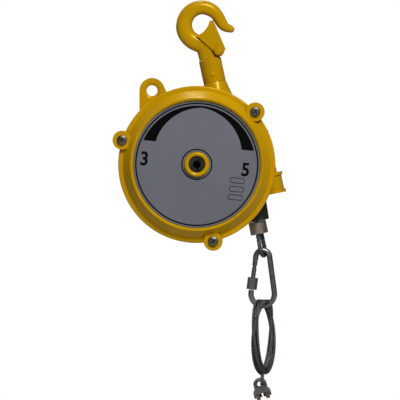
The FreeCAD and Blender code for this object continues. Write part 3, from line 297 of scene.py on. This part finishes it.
# A darker copy of the casting's colours, as painted shade on the hook; the last colour is the
# painted shade in its corners
shaded_forging_yellow = enamel(
    "shaded_forging_yellow", (0.60, 0.325, 0.0), (0.74, 0.44, 0.002), (0.13, 0.055, 0.0), peel=320.0
)
for piece in ("hook", "latch", "latch_rivet", "swivel_pin"):
    finish_node(piece, shaded_forging_yellow)


def bare_metal(name, light, dark, roughness, grain=900.0, metallic=1.0, relief=0.02):
    """Metal with faint machining or rolling grain, and painted shade darkening its corners."""
    material, tree, surface = start_material(name, roughness, metallic=metallic)
    uneven = placed(tree, mottle, Size=120.0, Grain=grain)
    found = placed(tree, edges_and_corners, Width=0.3 * MM)
    colour = blend_colours(tree, between(tree, uneven.outputs["Value"], 0.3, 0.7), dark, light)
    # Corners are blended to a much darker copy of the metal: painted shade
    shade_colour = tuple(value * 0.35 for value in dark)
    colour = blend_colours(tree, found.outputs["Corner"], colour, shade_colour)
    tree.links.new(colour, surface.inputs["Base Color"])
    rough = between(tree, uneven.outputs["Height"], 0.3, 0.7, roughness - 0.07, roughness + 0.1)
    tree.links.new(rough, surface.inputs["Roughness"])
    raise_surface(tree, surface, uneven.outputs["Height"], relief * MM)
    return material


turned_steel = bare_metal("turned_steel", (0.56, 0.56, 0.57), (0.42, 0.42, 0.43), 0.32)
blued_steel = bare_metal("blued_steel", (0.16, 0.18, 0.24), (0.07, 0.08, 0.12), 0.34)
for piece in ("swivel_stem", "swivel_nut", "swivel_washer", "drum_plate", "plate_rivets", "worm"):
    finish_node(piece, turned_steel)
for piece in ("spiral_spring", "latch_spring"):
    finish_node(piece, blued_steel)



def round_plug(name, middle, way, radius, depth, material):
    """A short cylinder round an axis."""
    work = bmesh.new()
    bmesh.ops.create_cone(
        work, cap_ends=True, segments=64, radius1=radius, radius2=radius, depth=depth,
        matrix=Matrix.Translation(middle) @ way.to_track_quat("Z", "Y").to_matrix().to_4x4(),
    )
    mesh = bpy.data.meshes.new(name)
    work.to_mesh(mesh)
    work.free()
    mesh.materials.append(material)
    plug = bpy.data.objects.new(name, mesh)
    bpy.context.scene.collection.objects.link(plug)
    return plug


# A thin dark ring fills the running gap between the hook's barrel and the casing's neck: painted
# shade in the gap
joints = {joint["name"]: joint for joint in frame["joints"]}
swivel_way = Vector(joints["swivel"]["axis"])
gap_middle = Vector(joints["swivel"]["pos_m"]) + swivel_way * 2.65 * MM
gap_shade_paint, tree, surface = start_material("swivel_gap_shade", 0.5)
uneven = placed(tree, mottle, Size=200.0, Grain=900.0)
tree.links.new(
    blend_colours(tree, uneven.outputs["Value"], (0.012, 0.008, 0.003), (0.05, 0.03, 0.008)),
    surface.inputs["Base Color"],
)
gap_shade_ring = round_plug("swivel_gap_shade", gap_middle, swivel_way, 10.8 * MM, 0.28 * MM, gap_shade_paint)
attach(gap_shade_ring, "hook")

# ---- Label plate --------------------------------------------------------------------------------
# A thin aluminium disc with satin grey foil, glued in the cover's recess, with black screen print:
# a border line, the load scale as a crescent that swells to both ends, and its two end values.

label_low, label_high = (Vector(corner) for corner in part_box("label_disc"))
label_middle = (label_low + label_high) / 2
label_radius = (label_high.x - label_low.x) / 2
label_turn = math.radians(5.6)

foil, tree, surface = start_material("label_foil", 0.45)
surface.inputs["Specular IOR Level"].default_value = 0.35
uneven = placed(tree, mottle, Size=14.0, Grain=2200.0)
place = node_in(tree, "ShaderNodeTexCoord").outputs["Object"]
creases = node_in(tree, "ShaderNodeTexNoise", {
    "Vector": place, "Scale": 34.0, "Detail": 5.0, "Distortion": 1.2,
})
tone = between(tree, uneven.outputs["Value"], 0.25, 0.75)
grey = blend_colours(tree, tone, (0.150, 0.155, 0.184), (0.176, 0.180, 0.214))
tree.links.new(grey, surface.inputs["Base Color"])
rough = between(tree, creases.outputs["Fac"], 0.35, 0.7, 0.38, 0.52)
tree.links.new(rough, surface.inputs["Roughness"])
raise_surface(tree, surface, creases.outputs["Fac"], 0.12 * MM, 0.5)
finish_node("label_disc", foil)

ink, tree, surface = start_material("label_ink", 0.5)
surface.inputs["Specular IOR Level"].default_value = 0.06
uneven = placed(tree, mottle, Size=60.0, Grain=2500.0)
tree.links.new(
    blend_colours(tree, uneven.outputs["Value"], (0.001, 0.001, 0.001), (0.003, 0.003, 0.003)),
    surface.inputs["Base Color"],
)
rough = between(tree, uneven.outputs["Height"], 0.3, 0.7, 0.38, 0.52)
tree.links.new(rough, surface.inputs["Roughness"])


def on_label(radius, angle, lift=0.05 * MM):
    """A point on the label's face; angles run anticlockwise from its own right-hand side."""
    turn = math.radians(angle) - label_turn
    return Vector((
        label_middle.x + radius * math.cos(turn),
        label_low.y - lift,
        label_middle.z + radius * math.sin(turn),
    ))


def printed_band(name, inner, outer, first, last, steps):
    """A flat printed band between two radii, each a number or a function of the angle."""
    verts = []
    for step in range(steps + 1):
        angle = first + (last - first) * step / steps
        for radius in (inner, outer):
            verts.append(on_label(radius(angle) if callable(radius) else radius, angle))
    mesh = bpy.data.meshes.new(name)
    mesh.from_pydata(verts, [], [(2 * k, 2 * k + 1, 2 * k + 3, 2 * k + 2) for k in range(steps)])
    mesh.materials.append(ink)
    band = bpy.data.objects.new(name, mesh)
    bpy.context.scene.collection.objects.link(band)
    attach(band, "housing")


scale_radius = label_radius * 0.928
scale_start = 18.8


def scale_inner(angle):
    """The crescent's inner edge: it swells away from the top and is cut off level at both ends."""
    share = abs(angle - 90) / (90 - scale_start)
    swell = (1.9 + 10.4 * share ** 1.25) * MM
    from_side = max(min(angle, 180 - angle), 1)
    level_end = math.sin(math.radians(scale_start)) / math.sin(math.radians(from_side))
    return max(scale_radius - swell, min(scale_radius, scale_radius * level_end))


printed_band("border_line", label_radius * 0.951, label_radius * 0.974, 0, 360, 180)
printed_band("load_scale", scale_inner, scale_radius, scale_start, 180 - scale_start, 284)
printed_band("hub_line", 14.1 * MM, 15.3 * MM, 0, 360, 90)


def printed_figure(figure, height, radius, angle):
    """One end value of the load scale, in heavy plain figures."""
    curve = bpy.data.curves.new("figure_" + figure, "FONT")
    curve.body = figure
    curve.size = height / 0.72
    curve.offset = height * 0.036
    curve.align_x = "CENTER"
    curve.align_y = "CENTER"
    curve.materials.append(ink)
    piece = bpy.data.objects.new("figure_" + figure, curve)
    facing = Matrix.Rotation(label_turn, 4, "Y") @ Matrix.Rotation(math.radians(90), 4, "X")
    narrow = Matrix.Diagonal((0.92, 1, 1, 1))
    piece.matrix_world = Matrix.Translation(on_label(radius, angle)) @ facing @ narrow
    bpy.context.scene.collection.objects.link(piece)
    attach(piece, "housing")


printed_figure("3", 13.4 * MM, 51.6 * MM, 180.0)
printed_figure("5", 13.0 * MM, 48.0 * MM, -1.3)


def printed_frame(name, centre_radius, angle, width, height, line):
    """An empty outlined field, rounded at its corners."""
    centre = on_label(centre_radius, angle)
    rounding = height * 0.3
    right = Vector((math.cos(label_turn), 0, -math.sin(label_turn)))
    up = Vector((math.sin(label_turn), 0, math.cos(label_turn)))
    verts = []
    for inset in (0, line):
        for corner, (side, rise) in enumerate(((1, 1), (-1, 1), (-1, -1), (1, -1))):
            for part in range(4):
                bend = math.radians(90 * corner + 30 * part)
                reach = rounding - inset
                across = side * (width / 2 - rounding) + reach * math.cos(bend)
                along = rise * (height / 2 - rounding) + reach * math.sin(bend)
                verts.append(centre + right * across + up * along)
    mesh = bpy.data.meshes.new(name)
    count = len(verts) // 2
    mesh.from_pydata(
        verts, [], [(k, (k + 1) % count, count + (k + 1) % count, count + k) for k in range(count)]
    )
    mesh.materials.append(ink)
    field = bpy.data.objects.new(name, mesh)
    bpy.context.scene.collection.objects.link(field)
    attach(field, "housing")


for index, (radius, angle) in enumerate(((42.6, -16.2), (45.9, -26.4), (49.6, -35.0))):
    printed_frame(f"label_field_{index + 1}", radius * MM, angle, 14.2 * MM, 5.4 * MM, 0.6 * MM)

# ---- Casing screws, arbor and bushes ------------------------------------------------------------
# Cross-head screws in dark zinc hold the cover; the arbor is blackened steel and turns in sintered
# bronze bushes, with a slot in its front end.

dark_zinc = bare_metal("dark_zinc", (0.26, 0.25, 0.24), (0.12, 0.115, 0.11), 0.42, grain=1500.0)
finish_node("casing_screws", dark_zinc)
black_arbor = bare_metal("black_arbor", (0.075, 0.075, 0.08), (0.035, 0.035, 0.038), 0.42)
finish_node("arbor", black_arbor)
sintered_bronze = bare_metal("sintered_bronze", (0.55, 0.36, 0.15), (0.38, 0.24, 0.10), 0.45)
for piece in ("arbor_bush", "drum_bush"):
    finish_node(piece, sintered_bronze)
bare_casting = bare_metal("bare_casting", (0.58, 0.58, 0.58), (0.44, 0.44, 0.44), 0.48, grain=500.0)
for piece in ("rope_drum", "worm_wheel"):
    finish_node(piece, bare_casting)

# ---- Rope guide ---------------------------------------------------------------------------------
# A moulded black rubber funnel pushed into the housing, which takes the ferrule's knock.

guide_rubber, tree, surface = start_material("guide_rubber", 0.62)
uneven = placed(tree, mottle, Size=160.0, Grain=1800.0)
found = placed(tree, edges_and_corners)
colour = blend_colours(tree, uneven.outputs["Value"], (0.004, 0.004, 0.004), (0.012, 0.012, 0.012))
tree.links.new(
    blend_colours(tree, found.outputs["Edge"], colour, (0.035, 0.035, 0.035)),
    surface.inputs["Base Color"],
)
raise_surface(tree, surface, uneven.outputs["Height"], 0.03 * MM)
finish_node("rope_guide", guide_rubber)

# ---- Main rope, its ferrule and eye -------------------------------------------------------------
# Galvanised wire rope of six strands round a core. Each strand is laid up in mesh along the rope's
# own line; the wires in a strand are fine slanting grooves across it.

rope_radius = 1.75 * MM
lay_length = 24 * MM

strand_steel, tree, surface = start_material("strand_steel", 0.36, metallic=1.0)
along = node_in(tree, "ShaderNodeUVMap").outputs["UV"]
wires = node_in(
    tree, "ShaderNodeTexWave", {"Vector": along, "Scale": 1.0, "Distortion": 0.0},
    bands_direction="DIAGONAL",
)
uneven = placed(tree, mottle, Size=90.0, Grain=1400.0)
# Dark wire grooves and near-black seams between strands are painted shade
groove_shade = between(tree, wires.outputs["Fac"], 0.05, 0.6)
colour = blend_colours(tree, uneven.outputs["Value"], (0.12, 0.13, 0.14), (0.46, 0.49, 0.51))
colour = blend_colours(tree, groove_shade, (0.03, 0.033, 0.033), colour)
strand_seam_shade = node_in(tree, "ShaderNodeAmbientOcclusion", {"Distance": 1.3 * MM}, samples=6).outputs["AO"]
tree.links.new(
    blend_colours(tree, between(tree, strand_seam_shade, 0.5, 0.95), (0.006, 0.006, 0.005), colour),
    surface.inputs["Base Color"],
)
rough = between(tree, uneven.outputs["Height"], 0.3, 0.7, 0.3, 0.46)
tree.links.new(rough, surface.inputs["Roughness"])
raise_surface(tree, surface, wires.outputs["Fac"], 0.15 * MM)


def frames_along(path):
    """Two directions square to the line at each point, carried along it without twist."""
    tangents = []
    for index, point in enumerate(path):
        before = path[max(index - 1, 0)]
        after = path[min(index + 1, len(path) - 1)]
        tangents.append((after - before).normalized())
    side = tangents[0].orthogonal().normalized()
    result = []
    for tangent in tangents:
        side = (side - tangent * side.dot(tangent)).normalized()
        result.append((side.copy(), tangent.cross(side)))
    return result


def lay_rope(name, path, radius=rope_radius, phase=0.0):
    """Six strands and a core, laid round the path."""
    strand_radius = radius / 3
    squares = frames_along(path)
    travelled = [0.0]
    for first, second in zip(path, path[1:]):
        travelled.append(travelled[-1] + (second - first).length)
    work = bmesh.new()
    layer = work.loops.layers.uv.new("along")
    for strand in range(7):
        rings = []
        for point, (side, up), far in zip(path, squares, travelled):
            turn = 2 * math.pi * (far / lay_length + strand / 6) + phase
            offset = 0 if strand == 6 else radius - strand_radius
            middle = point + (side * math.cos(turn) + up * math.sin(turn)) * offset
            ring = []
            for corner in range(8):
                angle = 2 * math.pi * corner / 8 + turn
                outward = side * math.cos(angle) + up * math.sin(angle)
                ring.append(work.verts.new(middle + outward * strand_radius))
            rings.append(ring)
        for index, (first, second) in enumerate(zip(rings, rings[1:])):
            for corner in range(8):
                after = (corner + 1) % 8
                face = work.faces.new((first[corner], first[after], second[after], second[corner]))
                face.smooth = True
                near, distant = travelled[index], travelled[index + 1]
                ends = (near, near, distant, distant)
                rounds = (corner, corner + 1, corner + 1, corner)
                for loop, far, around in zip(face.loops, ends, rounds):
                    loop[layer].uv = (far / (1.6 * MM), around / 8 * 3)
        work.faces.new(reversed(rings[0]))
        work.faces.new(rings[-1])
    mesh = bpy.data.meshes.new(name)
    work.to_mesh(mesh)
    work.free()
    mesh.materials.append(strand_steel)
    rope = bpy.data.objects.new(name, mesh)
    bpy.context.scene.collection.objects.link(rope)
    return rope


rope_way = Vector(joints["rope_travel"]["axis"])
ferrule_low, ferrule_high = (Vector(corner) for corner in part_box("ferrule"))
ferrule_middle = (ferrule_low + ferrule_high) / 2
run_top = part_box("rope_run")[1][2]
run_start = ferrule_middle - rope_way * ((run_top - ferrule_middle.z) / -rope_way.z)
run_steps = 60
run_path = [run_start.lerp(ferrule_middle, step / run_steps) for step in range(run_steps + 1)]
run = lay_rope("main_rope", run_path)
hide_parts("rope_run")
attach(run, "rope_end")

# The guide's inner lip, where the ferrule rests when the rope is wound up
lip_middle = ferrule_middle - rope_way * 7.9 * MM
lip = round_plug("guide_lip", lip_middle, rope_way, 8.5 * MM, 3 * MM, guide_rubber)
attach(lip, "housing")

eye_spread = 4.6 * MM
eye_radius = 5.75 * MM
eye_depth = 15.95 * MM
eye_lean = math.radians(-10.7)
eye_turn = math.radians(-24)
ferrule_half = 6.25
ferrule_foot = ferrule_middle + rope_way * ferrule_half * MM
eye_place = Matrix.Translation(ferrule_foot) @ Matrix.Rotation(eye_lean, 4, "Y")
eye_place = eye_place @ Matrix.Rotation(eye_turn, 4, "Z")
eye_path = []
side_slope = math.atan2(eye_radius - eye_spread, eye_depth)
leg_steps = 12
bow_steps = 30
for step in range(leg_steps + 1):
    share = step / leg_steps
    out = eye_spread + (eye_radius * math.cos(side_slope) - eye_spread) * share
    rise = 3 * MM * (1 - share) - (eye_depth - eye_radius * math.sin(side_slope)) * share
    eye_path.append(Vector((0, -out, rise)))
for step in range(1, bow_steps):
    turn = math.pi - side_slope + (math.pi + 2 * side_slope) * step / bow_steps
    rise = -eye_depth + eye_radius * math.sin(turn)
    eye_path.append(Vector((0, eye_radius * math.cos(turn), rise)))
eye_path += [Vector((0, -point.y, point.z)) for point in reversed(eye_path[:leg_steps + 1])]
eye_line = [eye_place @ point for point in eye_path]
eye = lay_rope("rope_eye_strands", eye_line, radius=2.15 * MM, phase=0.4)
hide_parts("rope_eye")
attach(eye, "rope_end")
winding_steel = bare_metal(
    "winding_steel", (0.36, 0.38, 0.41), (0.19, 0.21, 0.235), 0.4, grain=1400.0, relief=0.1
)
finish_node("rope_winding", winding_steel)

# The ferrule is an aluminium sleeve pressed on the rope: dull, with long streaks from the die
ferrule_metal, tree, surface = start_material("ferrule_metal", 0.42, metallic=0.8)
place = node_in(tree, "ShaderNodeTexCoord").outputs["Object"]
stretch = node_in(tree, "ShaderNodeMapping", {
    "Vector": place, "Rotation": (0, math.radians(12), 0), "Scale": (1, 1, 0.08),
}).outputs["Vector"]
streaks = node_in(tree, "ShaderNodeTexNoise", {"Vector": stretch, "Scale": 420.0, "Detail": 3.0})
found = placed(tree, edges_and_corners, Width=0.5 * MM)
colour = blend_colours(
    tree, between(tree, streaks.outputs["Fac"], 0.38, 0.62), (0.27, 0.215, 0.18), (0.42, 0.35, 0.30)
)
tree.links.new(
    blend_colours(tree, found.outputs["Edge"], colour, (0.62, 0.58, 0.54)),
    surface.inputs["Base Color"],
)
rough = between(tree, streaks.outputs["Fac"], 0.3, 0.7, 0.34, 0.55)
tree.links.new(rough, surface.inputs["Roughness"])
raise_surface(tree, surface, streaks.outputs["Fac"], 0.06 * MM)
finish_node("ferrule", ferrule_metal)

# ---- Screw carabiner ----------------------------------------------------------------------------
# Bent from zinc-plated rod, with a threaded gate that swings on a pin and a hexagon nut to lock it.

zinc = bare_metal(
    "zinc_plating", (0.36, 0.36, 0.34), (0.20, 0.20, 0.19), 0.34, grain=1100.0, relief=0.03
)
for piece in ("carabiner", "gate_pin", "gate_nut", "clip_bolt", "clip_saddle"):
    finish_node(piece, zinc)

gate_thread, tree, surface = start_material("gate_thread", 0.4, metallic=1.0)
place = node_in(tree, "ShaderNodeTexCoord").outputs["Object"]
tilted = node_in(tree, "ShaderNodeMapping", {
    "Vector": place, "Rotation": (0, math.radians(7.5), 0),
}).outputs["Vector"]
thread = node_in(
    tree, "ShaderNodeTexWave", {"Vector": tilted, "Scale": 160.0, "Distortion": 0.3},
    bands_direction="Z",
)
# The thread's roots are painted darker than its crests: painted shade
tree.links.new(
    blend_colours(tree, thread.outputs["Fac"], (0.11, 0.11, 0.105), (0.26, 0.26, 0.25)),
    surface.inputs["Base Color"],
)
raise_surface(tree, surface, thread.outputs["Fac"], 0.12 * MM)
finish_node("gate", gate_thread)

# ---- Safety rope and clip -----------------------------------------------------------------------
# A short rope of the same kind is wound through the carabiner in four turns, and a wire-rope
# clip holds its end.

hank_low, hank_high = (Vector(corner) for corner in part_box("safety_hank"))
hank_middle = (hank_low + hank_high) / 2
clip_low, clip_high = (Vector(corner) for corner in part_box("clip_bolt"))
clip_hole = Vector(((clip_low.x + clip_high.x) / 2, 0, clip_high.z - 6.6 * MM))
hank_turn = math.radians(58)
hank_out = Vector((math.cos(hank_turn), math.sin(hank_turn), 0))
hank_side = Vector((-math.sin(hank_turn), math.cos(hank_turn), 0))
top_line = hank_high.z - 2.5 * MM
bottom_line = hank_low.z + 5.0 * MM
half_width = 16.4 * MM
turns = 4
per_turn = 18
bundle_radius = 3.1 * MM
strand_step = 3.4 * MM
top_sink = 2.6 * MM
route = []
for step in range(turns * per_turn + 1):
    angle = math.pi + 2 * math.pi * step / per_turn
    around = (1 - math.cos(angle)) / 2
    drift = 2 * math.pi * step / (turns * per_turn) + 0.6
    spread = bundle_radius * (1 - (1 - around) ** 3)
    flat = (step / per_turn - turns / 2) * strand_step * (1 - around) ** 2
    sink = top_sink * (1 - around) ** 4
    outward = spread * math.cos(drift)
    route.append(
        Vector((hank_middle.x, hank_middle.y, (top_line + bottom_line) / 2 - sink))
        + hank_out * (half_width + outward) * math.sin(angle)
        + Vector((0, 0, 1)) * ((top_line - bottom_line) / 2 + outward) * math.cos(angle)
        + hank_side * (spread * math.sin(drift) + flat)
    )
route += [
    clip_hole + Vector((1.0, -5.5, 12.0)) * MM,
    clip_hole + Vector((0.2, -7.5, 5.5)) * MM,
    clip_hole + Vector((0.0, -7.2, 0.3)) * MM,
    clip_hole + Vector((0.0, 0.0, 0.0)) * MM,
    clip_hole + Vector((0.0, 7.0, 0.0)) * MM,
]


def rope_line(name, points):
    curve = bpy.data.curves.new(name, "CURVE")
    curve.dimensions = "3D"
    curve.resolution_u = 12
    spline = curve.splines.new("NURBS")
    spline.points.add(len(points) - 1)
    for slot, point in zip(spline.points, points):
        slot.co = (*point, 1)
    spline.order_u = 3
    spline.use_endpoint_u = True
    line = bpy.data.objects.new(name, curve)
    bpy.context.scene.collection.objects.link(line)
    bpy.context.view_layer.update()
    read = bpy.data.meshes.new_from_object(line)
    places = [vertex.co.copy() for vertex in read.vertices]
    bpy.data.objects.remove(line)
    bpy.data.meshes.remove(read)
    return places


safety_line = rope_line("safety_line", route)
safety = lay_rope("safety_rope_strands", safety_line)
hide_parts("safety_hank", "safety_tail")
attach(safety, "safety_rope")

clip_nut_metal = bare_metal(
    "clip_nut_metal", (0.34, 0.24, 0.19), (0.20, 0.13, 0.10), 0.45, grain=1200.0
)
finish_node("clip_nuts", clip_nut_metal)
